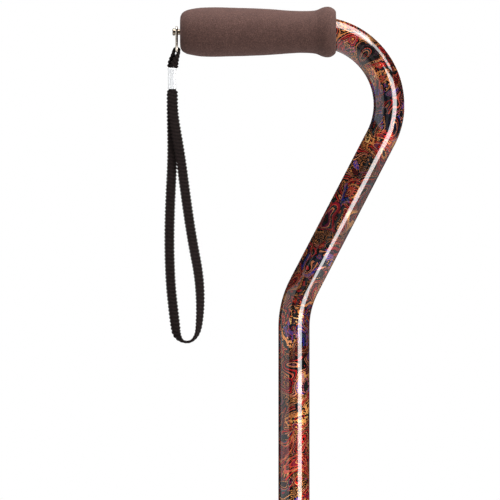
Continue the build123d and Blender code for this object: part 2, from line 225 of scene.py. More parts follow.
def spline_points(route, name, step):
    """Points at even steps along the NURBS spline whose control points are the route's."""
    data = bpy.data.curves.new(name + "_line", "CURVE")
    data.dimensions = "3D"
    data.resolution_u = 24
    line = data.splines.new("NURBS")
    line.points.add(len(route) - 1)
    for point, place in zip(line.points, route):
        point.co = (*[value * MM for value in place], 1)
    line.order_u = 3
    line.use_endpoint_u = True
    carrier = add_object(name + "_line", data)
    mesh = bpy.data.meshes.new_from_object(carrier)
    fine = np.array([vertex.co[:] for vertex in mesh.vertices]) / MM
    bpy.data.objects.remove(carrier)
    bpy.data.meshes.remove(mesh)
    bpy.data.curves.remove(data)
    run = run_along(fine)
    even = np.linspace(0, run[-1], int(run[-1] / step) + 1)
    return np.stack([np.interp(even, run, fine[:, k]) for k in range(3)], axis=1), even


def ribbon(name, route, wide, thick, twist, gathers):
    """Woven webbing along a route, and its centre line.

    twist gives degrees, and gathers a share of the full width, at fractions of its length.
    """
    line, run = spline_points(route, name, WEAVE_STEP)
    share = run / run[-1]
    going = unit_rows(np.gradient(line, axis=0))
    angle = np.radians(np.interp(share, *zip(*twist)))
    kernel = np.hanning(2 * TWIST_BLUR + 1)
    kernel /= kernel.sum()
    angle = np.convolve(np.pad(angle, TWIST_BLUR, mode="edge"), kernel, mode="valid")
    across = np.stack([np.cos(angle), np.sin(angle), np.zeros_like(angle)], axis=1)
    across = unit_rows(across - (across * going).sum(axis=1)[:, None] * going)
    facing = np.cross(going, across)
    ridge = np.abs(np.sin(math.pi * run / RIB_PITCH)) ** 0.8
    gather = np.interp(share, *zip(*gathers))
    half_wide = gather * (wide / 2 - TOOTH_DEPTH * (1 - ridge))
    half_thick = (thick / 2 - GROOVE_DEPTH + GROOVE_DEPTH * ridge) * (1 + 0.15 * (1 - gather))
    # the section is a rounded oblong
    turn = np.linspace(0, FULL_TURN, 29)
    side = np.sign(np.cos(turn)) * np.abs(np.cos(turn)) ** 0.45
    face = np.sign(np.sin(turn)) * np.abs(np.sin(turn)) ** 0.6
    # warp yarns stand a little proud of the weft across the faces
    face = face * (1 + 0.05 * np.cos(side * 5 * math.pi))
    rings = [
        centre + w * side[:-1, None] * a + t * face[:-1, None] * f
        for centre, w, a, t, f in zip(line, half_wide, across, half_thick, facing)
    ]
    edge = np.cumsum(np.hypot(np.diff(side) * wide / 2, np.diff(face) * thick / 2))
    return skin(name, rings, run, np.concatenate([[0], edge]), sharp=70), line


def bent_path():
    """Centreline of the handle tube in the XZ plane, with its direction and run."""
    corners = [(0.0, TUBE_LOW_Z), *[bend[:2] for bend in BENDS], (TUBE_END_X, HANDLE_Z)]
    corners = [np.array(corner) for corner in corners]
    points, start = [], corners[0]
    for before, corner, after, bend in zip(corners, corners[1:], corners[2:], BENDS):
        run_in, run_out = corner - before, after - corner
        run_in, run_out = run_in / np.linalg.norm(run_in), run_out / np.linalg.norm(run_out)
        turn = math.acos(float(run_in @ run_out))
        reach = bend[2] * math.tan(turn / 2)
        into, out = corner - run_in * reach, corner + run_out * reach
        side = np.sign(run_in[0] * run_out[1] - run_in[1] * run_out[0])
        middle = into + side * bend[2] * np.array([-run_in[1], run_in[0]])
        count = max(2, int(np.linalg.norm(into - start) / STRAIGHT_STEP))
        points += [start + (into - start) * t for t in np.linspace(0, 1, count, endpoint=False)]
        x, z = into - middle
        for t in np.linspace(0, 1, int(turn * bend[2] / ARC_STEP), endpoint=False):
            c, s = math.cos(side * turn * t), math.sin(side * turn * t)
            points.append(middle + np.array([c * x - s * z, s * x + c * z]))
        start = out
    count = int(np.linalg.norm(corners[-1] - start) / STRAIGHT_STEP)
    points += [start + (corners[-1] - start) * t for t in np.linspace(0, 1, count)]
    line = np.array(points)
    run = run_along(line)
    return line, unit_rows(np.gradient(line, run, axis=0)), run


def weld_bead(name, start, end, seed):
    """A short run of overlapping weld ripples between two points."""
    start, end = np.array(start, dtype=float), np.array(end, dtype=float)
    length = np.linalg.norm(end - start)
    going = (end - start) / length
    side = np.cross(going, (0, 0, 1))
    side /= np.linalg.norm(side)
    up = np.cross(side, going)
    turn = np.linspace(0, FULL_TURN, 21)
    rings, along = [], np.linspace(0, length, int(length / WELD_STEP))
    for s in along:
        ends = math.sqrt(max(0.02, 1 - abs(2 * s / length - 1) ** 6))
        ripple = 0.86 + 0.14 * abs(math.sin(math.pi * s / WELD_RIPPLE))
        lump = 1 + 0.12 * noise.noise(Vector((s * 0.4, seed, 0)))
        r = WELD_R * ends * ripple * lump
        section = np.cos(turn[:-1, None]) * side + 0.7 * np.sin(turn[:-1, None]) * up
        rings.append(start + going * s + r * section)
    return skin(name, rings, along, turn * WELD_R, sharp=60)


# ---- Materials: a small language for node graphs -------------------------------------


def rgb(red, green, blue):
    """A screen colour, 0 to 255, as the linear colour that a node takes."""
    return tuple(
        v / 12.92 if v <= 0.04045 else ((v + 0.055) / 1.055) ** 2.4
        for v in (red / 255, green / 255, blue / 255)
    ) + (1.0,)


def palette(*colours):
    return [rgb(*colour) for colour in colours]


class Value:
    """A node's output that can be added, multiplied and so on."""

    def __init__(self, graph, socket):
        self.graph, self.socket = graph, socket

    def __add__(self, other):
        return self.graph.math("ADD", self, other)

    def __sub__(self, other):
        return self.graph.math("SUBTRACT", self, other)

    def __rsub__(self, other):
        return self.graph.math("SUBTRACT", other, self)

    def __mul__(self, other):
        return self.graph.math("MULTIPLY", self, other)

    def __truediv__(self, other):
        return self.graph.math("DIVIDE", self, other)

    def over(self, other):
        return self.graph.math("GREATER_THAN", self, other)

    def under(self, other):
        return self.graph.math("LESS_THAN", self, other)


class Graph:
    """One material. Uniform settings go straight on the shader's own sockets."""

    def __init__(self, name, **settings):
        self.material = bpy.data.materials.new(name)
        self.material.use_nodes = True
        self.tree = self.material.node_tree
        self.shader = next(n for n in self.tree.nodes if n.type == "BSDF_PRINCIPLED")
        for key, value in settings.items():
            self.shader.inputs[key.replace("_", " ")].default_value = value

    def put(self, socket, value):
        if isinstance(value, Value):
            self.tree.links.new(value.socket, socket)
        else:
            socket.default_value = value

    def node(self, kind, **settings):
        made = self.tree.nodes.new("ShaderNode" + kind)
        for key, value in settings.items():
            setattr(made, key, value)
        return made

    def math(self, operation, *values):
        made = self.node("Math", operation=operation)
        for socket, value in zip(made.inputs, values):
            self.put(socket, value)
        return Value(self, made.outputs[0])

    def vector_math(self, operation, a, b=None, scale=None):
        made = self.node("VectorMath", operation=operation)
        self.put(made.inputs[0], a)
        if b is not None:
            self.put(made.inputs[1], b)
        if scale is not None:
            self.put(made.inputs["Scale"], scale)
        return Value(self, made.outputs[0])

    def join(self, x, y, z):
        made = self.node("CombineXYZ")
        for socket, value in zip(made.inputs, (x, y, z)):
            self.put(socket, value)
        return Value(self, made.outputs[0])

    def split(self, vector):
        made = self.node("SeparateXYZ")
        self.put(made.inputs[0], vector)
        return [Value(self, out) for out in made.outputs]

    def place(self):
        """Position in mm in the row frame."""
        made = self.node("TexCoord")
        return self.vector_math("SCALE", Value(self, made.outputs["Object"]), scale=1000.0)

    def surface(self):
        """Distances in mm round and along a piece, from its own map."""
        made = self.node("UVMap", uv_map="surface")
        in_mm = self.vector_math("SCALE", Value(self, made.outputs[0]), scale=1000.0)
        return self.split(in_mm)[:2]

    def noise(self, vector, scale, detail=2.0, rough=0.5, colour=False):
        made = self.node("TexNoise", noise_dimensions="3D")
        self.put(made.inputs["Vector"], vector)
        self.put(made.inputs["Scale"], scale)
        self.put(made.inputs["Detail"], detail)
        self.put(made.inputs["Roughness"], rough)
        return Value(self, made.outputs["Color" if colour else "Fac"])

    def warp(self, vector, scale, detail, amount):
        """The vector, pushed each way by up to half of amount."""
        push = self.noise(vector, scale, detail, colour=True)
        push = self.vector_math("SUBTRACT", push, (0.5, 0.5, 0.5))
        return self.vector_math("ADD", vector, self.vector_math("SCALE", push, scale=amount))

    def cells(self, vector, scale=1.0, random=1.0):
        made = self.node("TexVoronoi", voronoi_dimensions="3D", feature="F1")
        self.put(made.inputs["Vector"], vector)
        self.put(made.inputs["Scale"], scale)
        self.put(made.inputs["Randomness"], random)
        return {out.name: Value(self, out) for out in made.outputs}

    def ramp(self, value, stops, kind="LINEAR"):
        made = self.node("ValToRGB")
        made.color_ramp.interpolation = kind
        points = made.color_ramp.elements
        while len(points) < len(stops):
            points.new(0.5)
        for point, (at, colour) in zip(points, stops):
            point.position, point.color = at, colour
        self.put(made.inputs[0], value)
        return Value(self, made.outputs[0])

    def pick(self, value, colours):
        """One of the colours, by the fraction of value."""
        stops = [(i / len(colours), colour) for i, colour in enumerate(colours)]
        return self.ramp(self.math("FRACT", value), stops, "CONSTANT")

    def clamp(self, value):
        return self.math("MINIMUM", self.math("MAXIMUM", value, 0.0), 1.0)

    def mix(self, share, a, b, blend="MIX"):
        made = self.node("Mix", data_type="RGBA", blend_type=blend)
        for index, value in ((0, share), (6, a), (7, b)):
            self.put(made.inputs[index], value)
        return Value(self, made.outputs[2])

    def bump(self, height, distance_mm, strength):
        made = self.node("Bump")
        self.put(made.inputs["Height"], height)
        made.inputs["Distance"].default_value = distance_mm * MM
        made.inputs["Strength"].default_value = strength
        return Value(self, made.outputs[0])

    def done(self, colour, roughness=None, normal=None):
        self.put(self.shader.inputs["Base Color"], colour)
        if roughness is not None:
            self.put(self.shader.inputs["Roughness"], roughness)
        if normal is not None:
            self.put(self.shader.inputs["Normal"], normal)
        return self.material


BLACK = rgb(12, 9, 10)
INKS = palette(
    (150, 20, 16), (9, 7, 8), (196, 38, 30), (54, 54, 56),
    (186, 76, 44), (8, 6, 7), (112, 26, 74), (148, 12, 20),
    (14, 11, 12), (204, 88, 74), (72, 88, 98), (178, 22, 24),
    (74, 12, 16), (216, 150, 86), (10, 8, 9), (146, 22, 48),
)
DARK_INKS = palette(
    (7, 5, 6), (30, 32, 32), (34, 8, 10), (7, 6, 7),
    (10, 8, 8), (40, 46, 54), (8, 6, 6), (46, 16, 36),
)
LINE_INKS = palette(
    (222, 100, 78), (190, 30, 24), (236, 160, 112), (176, 26, 30),
    (218, 146, 84), (206, 36, 36), (248, 204, 136), (150, 74, 110),
)
BLUE_INKS = palette(
    (48, 46, 170), (20, 18, 60), (72, 98, 136),
    (30, 34, 50), (84, 62, 140), (12, 10, 26),
)
EDGE_INKS = [BLACK, rgb(240, 168, 110), BLACK, rgb(220, 84, 56), BLACK]
SPOT_INK = rgb(222, 116, 80)
BEAD_INK = rgb(230, 170, 104)
# colour of the painted golden glow
PAINTED_GLOW_INK = rgb(244, 190, 112)

# Zones along the tube: run from its lower end in mm, reach in mm, and strength.
BLUE_ZONE = (574.0, 26.0, 0.32)  # in the upper bend
# the painted golden glow, in the slope
PAINTED_GLOW_ZONE = (493.0, 18.0, 0.28)  # in the slope
BLUE_LEVEL = 0.6
BLUE_LEVEL_IN_DROPS = 0.66
PAINTED_GLOW_LEVEL = 0.57


def print_material():
    """A dense paisley print under a gloss clear coat."""
    g = Graph(
        "paisley_print",
        Metallic=0.45,
        Coat_Weight=1.0,
        Coat_Roughness=0.07,
        Coat_IOR=1.7,
        Specular_IOR_Level=0.03,
    )
    # the tube's surface as a straight cylinder, and the same a little unsteady
    round_mm, along = g.surface()
    turn = round_mm / TUBE_R
    flat = g.join(g.math("COSINE", turn) * TUBE_R, g.math("SINE", turn) * TUBE_R, along)
    flat = g.warp(flat, 0.055, 1.0, 13.0)
    worn = g.warp(flat, 0.35, 2.0, 1.0)
    px, py, pz = g.split(flat)

    def zone(offset, scale, detail, centre, reach, strength):
        """Noise that is raised near one place along the tube."""
        cloud = g.noise(g.vector_math("ADD", flat, offset), scale, detail)
        away = g.math("ABSOLUTE", pz - centre)
        return cloud + g.math("MAXIMUM", 1.0 - away / reach, 0.0) * strength

    def spots(fills):
        """For each fill the colour of its dots: bright on black, and black on bright."""
        return [SPOT_INK if max(fill[:3]) < 0.05 else BLACK for fill in fills]

    def dots(size, amount, random=0.6):
        return g.cells(worn, 1 / size, random=random)["Distance"].under(amount)

    def cells_at(spacing, offset):
        """Cell-local coordinates on the tube's surface, in cell sizes, and three random numbers."""
        scaled = g.vector_math("SCALE", flat, scale=1 / spacing)
        scaled = g.vector_math("ADD", scaled, (0.0, 0.0, offset))
        cell = g.cells(scaled, random=0.9)
        x, y, z = g.split(scaled)
        cx, cy, cz = g.split(cell["Position"])
        swing = g.math("ARCTAN2", cx * y - cy * x, cx * x + cy * y)
        a, b = swing * (TUBE_R / spacing), z - cz
        rand = g.split(cell["Color"])
        spin = rand[0] * FULL_TURN
        cos, sin = g.math("COSINE", spin), g.math("SINE", spin)
        return a * cos - b * sin, a * sin + b * cos, rand

    def teardrop(spacing, offset, wide, long, bend, bands, petals):
        """Nested teardrops, one in each cell: how far out a point is, its colour and a lot."""
        x, y, rand = cells_at(spacing, offset)
        hand = rand[1].over(0.5) * 2.0 - 1.0
        x = x + hand * bend * (y * y - 0.05)
        taper = g.math("MAXIMUM", 0.6 - y * 0.85, 0.08)
        x = x / (taper * wide)
        y = y / long
        far = g.math("SQRT", x * x + y * y)
        level = far * bands
        band = g.math("FLOOR", level)
        within = g.math("FRACT", level)
        petal = g.math("SINE", g.math("ARCTAN2", x, y) * petals + band * 1.7)
        colour = g.pick(band * 0.29 + rand[2] * 7.3, INKS)
        blue = g.pick(band * 0.31 + rand[2] * 3.0, BLUE_INKS)
        colour = g.mix(cool.over(BLUE_LEVEL_IN_DROPS), colour, blue)
        other = g.pick(band * 0.23 + rand[1] * 5.1 + 0.4, DARK_INKS)
        odd = g.math("FRACT", band * 0.5 + rand[0]).over(0.45)
        colour = g.mix(odd * petal.over(0.0), colour, other)
        dotted = g.math("FRACT", band * 0.5).over(0.25) * dots(1.7, 0.33)
        colour = g.mix(dotted, colour, BLACK)
        edge = g.pick(rand[0] * 3.7 + band * 0.41, EDGE_INKS)
        return far, g.mix(within.over(0.78), colour, edge), rand[2]

    # some zones are blue and violet, and one in the slope gets a painted golden glow
    cool = zone((40.0, 0.0, -34.0), 0.034, 1.0, *BLUE_ZONE)
    painted_glow = zone((0.0, 70.0, 55.0), 0.045, 2.0, *PAINTED_GLOW_ZONE)
    is_blue = cool.over(BLUE_LEVEL)

    # broad bands that flow round the tube, each with its own fill
    sweep = g.join(px * 0.8, py * 0.8, pz * 1.15 + px * 0.7)
    flow = g.noise(sweep, 0.042, 1.0, 0.4) * 9.0
    band = g.math("FLOOR", flow)
    within = g.math("FRACT", flow)
    kind = g.math("FRACT", band * 0.618 + 0.13)
    base = g.pick(band * 0.357 + 0.05, INKS)
    shade = g.pick(band * 0.43 + 0.3, DARK_INKS)
    base = g.mix(is_blue, base, g.pick(band * 0.31 + 0.2, BLUE_INKS))
    # the print turns gold where the painted glow is strong
    base = g.mix(g.clamp((painted_glow - PAINTED_GLOW_LEVEL) * 7.0), base, PAINTED_GLOW_INK)
    bright = g.pick(band * 0.43 + 0.3, LINE_INKS)
    # first kind: dots, bright on black fills and black on bright ones
    spot = g.mix(
        is_blue,
        g.pick(band * 0.357 + 0.05, spots(INKS)),
        g.pick(band * 0.31 + 0.2, spots(BLUE_INKS)),
    )
    colour = g.mix(dots(2.0, 0.46), base, spot)
    # second kind: stripes
    stripe = g.math("FRACT", flow * 4.0)
    line = g.pick(g.math("FLOOR", flow * 4.0) * 0.37, LINE_INKS)
    line = g.mix(g.math("FLOOR", flow * 2.0).under(3.5), line, base)
    colour = g.mix(kind.over(0.34), colour, g.mix(stripe.under(0.44), shade, line))
    # third kind: hooked curls on a dark field
    x, y, rand = cells_at(spacing=9.0, offset=17.0)
    radius = g.math("SQRT", x * x + y * y)
    hook = g.math("FRACT", radius * 5.2 - g.math("ARCTAN2", y, x) * (1 / FULL_TURN))
    curl = hook.under(0.34) * radius.under(0.56)
    curls = g.mix(curl, shade, g.pick(rand[2] * 3.1, LINE_INKS))
    colour = g.mix(kind.over(0.74), colour, curls)
    # fourth kind: veins
    veins = g.math("FRACT", g.noise(worn, 0.16, 2.0, 0.5) * 14.0)
    colour = g.mix(kind.over(0.88), colour, g.mix(veins.under(0.24), base, bright))
    # hairlines, then a beaded dark margin with a line in it where two bands meet
    hairline = stripe.over(0.87) * kind.under(0.34)
    colour = g.mix(hairline, colour, g.pick(band * 0.37 + 0.6, LINE_INKS))
    beads = g.mix(dots(1.5, 0.36, 0.3), BLACK, g.pick(band * 0.41 + 0.3, LINE_INKS))
    colour = g.mix(within.under(0.3), colour, beads)
    outline = within.over(0.06) * within.under(0.15)
    colour = g.mix(outline, colour, g.pick(band * 0.29 + 0.1, LINE_INKS))

    near, small, lot = teardrop(
        10.0, 40.0, wide=0.5, long=0.46, bend=0.4, bands=4.0, petals=8.0
    )
    colour = g.mix(near.under(0.95) * lot.over(0.5), colour, small)
    near, large, lot = teardrop(
        25.0, 0.0, wide=0.5, long=0.62, bend=1.2, bands=7.0, petals=15.0
    )
    held = lot.over(0.3)
    colour = g.mix(near.under(1.0) * held, colour, large)
    # a dark margin with beads just outside each large teardrop
    rim = near.over(1.0) * near.under(1.13) * held
    colour = g.mix(rim, colour, BLACK)
    colour = g.mix(rim * dots(1.2, 0.34, 0.3), colour, BEAD_INK)

    # broad random patches of painted shade and painted golden glow over the print
    painted_shade_and_glow = [
        (0.36, (0.27, 0.21, 0.21, 1)),
        (0.5, (0.48, 0.37, 0.32, 1)),
        (0.66, (1.0, 0.88, 0.76, 1)),
    ]
    tone = g.ramp(g.noise(flat, 0.03, 2.0), painted_shade_and_glow)
    colour = g.mix(1.0, colour, tone, "MULTIPLY")
    return g.done(colour, g.noise(worn, 0.9, 2.0) * 0.16 + 0.3)


def foam_material():
    """Closed-cell foam: fine mottling and tiny pits."""
    g = Graph("brown_foam", Sheen_Weight=0.12, Sheen_Roughness=0.5, Specular_IOR_Level=0.25)
    g.shader.inputs["Sheen Tint"].default_value = rgb(214, 176, 172)
    place = g.place()
    grain = g.noise(place, 1.3, 4.0, 0.7)
    pits = g.cells(place, 1.15)["Distance"]
    browns = [(0.28, rgb(44, 28, 24)), (0.5, rgb(67, 46, 41)), (0.74, rgb(94, 68, 61))]
    colour = g.ramp(grain, browns)
    mottle = g.noise(place, 0.22, 3.0, 0.6)
    mottle = g.ramp(mottle, [(0.3, rgb(206, 196, 194)), (0.7, rgb(255, 250, 248))])
    colour = g.mix(0.5, colour, mottle, "MULTIPLY")
    colour = g.mix(pits.under(0.16), colour, rgb(70, 50, 48))
    height = grain * 0.6 + pits * 0.4 + g.noise(place, 3.2, 2.0) * 0.35
    return g.done(colour, g.noise(place, 0.8, 2.0) * 0.12 + 0.84, g.bump(height, 0.35, 0.7))


def webbing_material():
    """Woven nylon: ribs across, with fine slanted yarns on each rib."""
    g = Graph("woven_webbing", Sheen_Weight=0.02, Sheen_Roughness=0.4, Specular_IOR_Level=0.05)
    across, along = g.surface()
    rib = g.math("ABSOLUTE", g.math("SINE", (along + across * 0.3) * (math.pi / RIB_PITCH)))
    yarn = g.math("SINE", across * 9.0 + along * 3.3)
    cross = g.math("SINE", across * 9.0 - along * 3.3)
    fuzz = g.noise(g.place(), 2.6, 3.0, 0.65)
    # the rib term darkens the grooves between ribs: painted shade; yarns and fuzz are the webbing's
    # own colour
    shade = rib * 0.24 + yarn * 0.12 + cross * 0.1 + fuzz * 0.7
    colour = g.ramp(shade, [(0.1, rgb(3, 2, 2)), (0.5, rgb(21, 15, 14)), (0.95, rgb(52, 42, 41))])
    height = rib * 0.3 + yarn * 0.25 + cross * 0.2 + fuzz * 0.3
    return g.done(colour, fuzz * 0.2 + 0.6, g.bump(height, 0.22, 0.8))


def chrome_material(name, low, high, rough, metal=1.0):
    """Plated wire and sheet, with faint drawing marks and a few dull spots."""
    g = Graph(name, Metallic=metal, Specular_IOR_Level=0.5)
    place = g.place()
    marks = g.noise(g.vector_math("MULTIPLY", place, (6.0, 6.0, 0.5)), 0.9, 3.0)
    colour = g.ramp(g.noise(place, 0.8, 4.0, 0.6), [(0.3, low), (0.6, high)])
    return g.done(colour, marks * 0.12 + rough, g.bump(marks, 0.02, 0.25))


def painted_material(name, low, high, rough, peel, coat=0.0, shine=0.5):
    """Powder coat: slight orange peel, dust in the finish and uneven gloss."""
    g = Graph(
        name, Coat_Weight=coat, Coat_Roughness=0.05, Coat_IOR=1.45, Specular_IOR_Level=shine
    )
    place = g.place()
    peeled = g.noise(place, 0.55, 2.0, 0.5)
    dust = g.noise(place, 3.5, 2.0).over(0.72)
    colour = g.ramp(g.noise(place, 0.06, 3.0, 0.6), [(0.3, low), (0.7, high)])
    colour = g.mix(dust * 0.35, colour, rgb(88, 84, 80))
    gloss = g.noise(place, 0.3, 3.0, 0.6) * 0.16 + rough
    return g.done(colour, gloss, g.bump(peeled, 0.05, peel * 0.4))


def plastic_material(name, low, high, rough):
    """Moulded plastic with a spark-eroded grain."""
    g = Graph(name, Specular_IOR_Level=0.45)
    place = g.place()
    grain = g.noise(place, 2.2, 3.0, 0.6)
    colour = g.ramp(g.noise(place, 0.12, 3.0, 0.6), [(0.3, low), (0.7, high)])
    return g.done(colour, grain * 0.16 + rough, g.bump(grain, 0.06, 0.35))


def rubber_material():
    """Grey moulded rubber, lighter in blotches near the floor."""
    g = Graph("grey_rubber", Specular_IOR_Level=0.25, Sheen_Weight=0.05, Sheen_Roughness=0.5)
    place = g.place()
    height = g.split(place)[2]
    grain = g.noise(place, 1.6, 4.0, 0.65)
    cloud = g.noise(place, 0.16, 4.0, 0.6)
    colour = g.ramp(cloud, [(0.3, rgb(40, 40, 43)), (0.7, rgb(49, 49, 53))])
    # lighter in blotches towards the floor, over the lowest 6 mm
    lighter_near_floor = g.math("MAXIMUM", 1.0 - height / 6.0, 0.0) * grain.over(0.5)
    colour = g.mix(lighter_near_floor * 0.35, colour, rgb(84, 82, 80))
    return g.done(colour, grain * 0.15 + 0.62, g.bump(grain, 0.1, 0.45))


def steel_material(name, low, high, rough):
    """Plated or spring steel with fine scratches."""
    g = Graph(name, Metallic=1.0)
    place = g.place()
    drawn = g.noise(g.vector_math("MULTIPLY", place, (1.0, 1.0, 9.0)), 0.9, 3.0)
    colour = g.ramp(g.noise(place, 0.2, 3.0, 0.6), [(0.3, low), (0.7, high)])
    return g.done(colour, drawn * 0.2 + rough, g.bump(drawn, 0.03, 0.3))


printed = print_material()
foam = foam_material()
webbing = webbing_material()
chrome = chrome_material("bright_chrome", rgb(230, 232, 236), rgb(250, 251, 252), 0.1, 0.5)
nickel = chrome_material("nickel_wire", rgb(176, 166, 152), rgb(226, 216, 202), 0.04)
# the nickel plating made darker for the strap screw: painted shade
shaded_nickel = chrome_material("shaded_nickel", rgb(84, 72, 62), rgb(152, 138, 122), 0.05)
gloss_black = painted_material(
    "gloss_black", rgb(14, 11, 10), rgb(22, 18, 16), 0.3, 0.12, coat=1.0, shine=0.06
)
satin_black = painted_material("satin_black", rgb(66, 64, 61), rgb(76, 73, 69), 0.3, 0.5)
black_plastic = plastic_material("black_plastic", rgb(24, 21, 22), rgb(34, 31, 31), 0.3)
inner_plastic = plastic_material("inner_plastic", rgb(52, 52, 53), rgb(70, 70, 70), 0.5)
rubber = rubber_material()
zinc = steel_material("zinc_plate", rgb(168, 170, 172), rgb(200, 200, 198), 0.25)
spring_steel = steel_material("spring_steel", rgb(130, 134, 140), rgb(166, 168, 172), 0.2)
plated_button = steel_material("plated_button", rgb(206, 204, 200), rgb(232, 230, 226), 0.08)


def finish(piece, material, slot, body, *replaced):
    """Gives a piece its material and its body, and hides the nodes it stands for; slot is not used.
    """
    piece.data.materials.clear()
    piece.data.materials.append(material)
    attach(piece, body)
    if replaced:
        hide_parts(*replaced)


# ---- Camera --------------------------------------------------------------------------

lens = bpy.data.cameras.new("camera")
lens.sensor_width = 36
lens.lens = 404.5
lens.clip_end = 100
camera = add_object("camera", lens)
camera.location = (-0.0313, -4.0, 0.6908)
camera.rotation_euler = (math.pi / 2, 0, 0)
bpy.context.scene.camera = camera

# ---- Wrist strap: webbing loop, its upper loop, crimp --------------------------------

# half a turn, most of it close to the lowest point
strap_twist = [
    (0, 0), (0.3, -4), (0.42, -8), (0.457, -16), (0.478, -42), (0.495, -86),
    (0.505, -94), (0.54, -126), (0.6, -150), (0.66, -166), (0.75, -177), (1, -180),
]
# both ends are squeezed in the crimp
strap_gathers = [(0, 0.5), (0.0185, 0.58), (0.0255, 1), (0.9745, 1), (0.9815, 0.58), (1, 0.5)]
strap, strap_line = ribbon("wrist_strap", STRAP_ROUTE, 7.5, 1.95, strap_twist, strap_gathers)
finish(strap, webbing, "webbing", "strap", "strap_loop")

# turned flat on the link's wire, and folded narrower there
upper_twist = [(0, 0), (0.2, 8), (0.38, 70), (0.5, 90), (0.62, 70), (0.8, 8), (1, 0)]
upper_gathers = [
    (0, 0.56), (0.14, 0.6), (0.19, 1), (0.42, 0.66),
    (0.58, 0.66), (0.81, 1), (0.86, 0.6), (1, 0.56),
]
upper_loop, _ = ribbon("strap_small_loop", UPPER_ROUTE, 6.4, 1.7, upper_twist, upper_gathers)
finish(upper_loop, webbing, "webbing", "strap", "strap_upper_loop")


def crimp_ring(inset, z):
    """A rounded rectangle ring of the crimp, drawn in from its outside by inset."""
    half_x, half_y = (half - inset for half in CRIMP_HALF)
    corner = CRIMP_CORNER - min(inset, 1.2)
    ring = []
    for quarter, (sx, sy) in enumerate(((1, 1), (-1, 1), (-1, -1), (1, -1))):
        for t in np.linspace(0, math.pi / 2, 9):
            angle = quarter * math.pi / 2 + t
            x = CRIMP_X + sx * (half_x - corner) + corner * math.cos(angle)
            y = sy * (half_y - corner) + corner * math.sin(angle)
            ring.append((x, y, z))
    return ring


# inset and height: lower lip, pressed waves, upper lip, and the inside back down
low, high = CRIMP_Z
levels = [(0.28, low), (0.08, low + 0.12), (0.0, low + 0.35), (0.0, low + 1.0)]
levels.append((0.07, low + 1.5))
for t in np.linspace(0.05, 0.95, 20):
    wave = 0.05 * math.cos(6 * math.pi * t) * (1 - t) * t
    levels.append((0.1 + wave, low + 1.5 + 12 * t))
levels += [(0.07, high - 1.5), (0.0, high - 1.0), (0.0, high - 0.35), (0.08, high - 0.12)]
levels += [(0.28, high), (0.5, high - 0.1), (0.6, high - 0.4)]
levels += [(0.6, low + 0.4), (0.5, low + 0.1)]
crimp_rings = [crimp_ring(inset, z) for inset, z in levels]
around_crimp = np.linspace(0, 20, len(crimp_rings[0]) + 1)
crimp = skin(
    "strap_crimp_sleeve",
    crimp_rings,
    np.arange(len(levels) + 1),
    around_crimp,
    closed=True,
    sharp=50,
)
finish(crimp, chrome, "chrome", "strap", "strap_crimp")

# ---- Handle tube ---------------------------------------------------------------------


def handle_tube():
    """The bent tube, hollow all the way, with its edges broken."""
    line, going, run = bent_path()
    turn = np.linspace(-math.pi, math.pi, 97)
    last = len(line) - 1
    bore = TUBE_R - TUBE_WALL

    def ring(i, radius, shift=0.0):
        (x, z), (dx, dz) = line[i], going[i]
        centre = np.array([x, 0, z]) + shift * np.array([dx, 0, dz])
        outward, front = np.array([dz, 0, -dx]), np.array([0.0, -1.0, 0.0])
        return centre + radius * (
            np.sin(turn[:-1, None]) * outward + np.cos(turn[:-1, None]) * front
        )

    # up the outside, over the upper end, down the inside and over the lower end
    rings = [ring(0, TUBE_R - TUBE_EDGE), ring(0, TUBE_R, TUBE_EDGE)]
    rings += [ring(i, TUBE_R) for i in range(1, last)]
    rings += [ring(last, TUBE_R, -TUBE_TOP_EDGE), ring(last, TUBE_R - TUBE_TOP_EDGE)]
    rings += [ring(i, bore) for i in range(last, -1, -1)]
    top = run[last]
    climb = [run[0], run[0] + TUBE_EDGE, *run[1:last], top - TUBE_TOP_EDGE, top]
    climb.append(top + TUBE_WALL)
    climb += [2 * top + TUBE_WALL - run[i] for i in range(last - 1, 0, -1)]
    climb += [2 * top + TUBE_WALL, 2 * top + 2 * TUBE_WALL]
    return skin("printed_tube", rings, climb, turn * TUBE_R, closed=True)


def drill(piece, places, radius, depth):
    """Cuts round holes through the front wall, with a small broken edge."""
    points, faces = [], []
    circle = np.linspace(0, FULL_TURN, 40, endpoint=False)
    size = len(circle)
    inner, outer = depth
    wide = radius + HOLE_EDGE
    section = ((inner, radius), (outer + HOLE_EDGE, radius), (outer, wide), (outer - 3, wide))
    for z in places:
        first = len(points)
        for y, r in section:
            points += [(r * math.cos(t), y, z + r * math.sin(t)) for t in circle]
        for level in range(3):
            for k in range(size):
                a, b = first + level * size + k, first + level * size + (k + 1) % size
                faces.append((a, a + size, b + size, b))
        faces.append([first + k for k in range(size)])
        faces.append([first + 3 * size + k for k in range(size - 1, -1, -1)])
    cutter = make_mesh("cutter", points, faces)
    cut = piece.modifiers.new("holes", "BOOLEAN")
    cut.operation, cut.solver, cut.object = "DIFFERENCE", "EXACT", cutter
    evaluated = piece.evaluated_get(bpy.context.evaluated_depsgraph_get())
    done = bpy.data.meshes.new_from_object(evaluated)
    piece.modifiers.clear()
    piece.data = done
    bpy.data.objects.remove(cutter)
    done.set_sharp_from_angle(angle=math.radians(40))


tube = handle_tube()
holes = range(-HOLES_EACH_WAY, HOLES_EACH_WAY + 1)
drill(tube, [BUTTON_Z + i * HOLE_PITCH for i in holes], HOLE_R, (-5.0, -TUBE_R))
finish(tube, printed, "printed_tube", "handle", "handle_tube")

# ---- Foam grip -----------------------------------------------------------------------

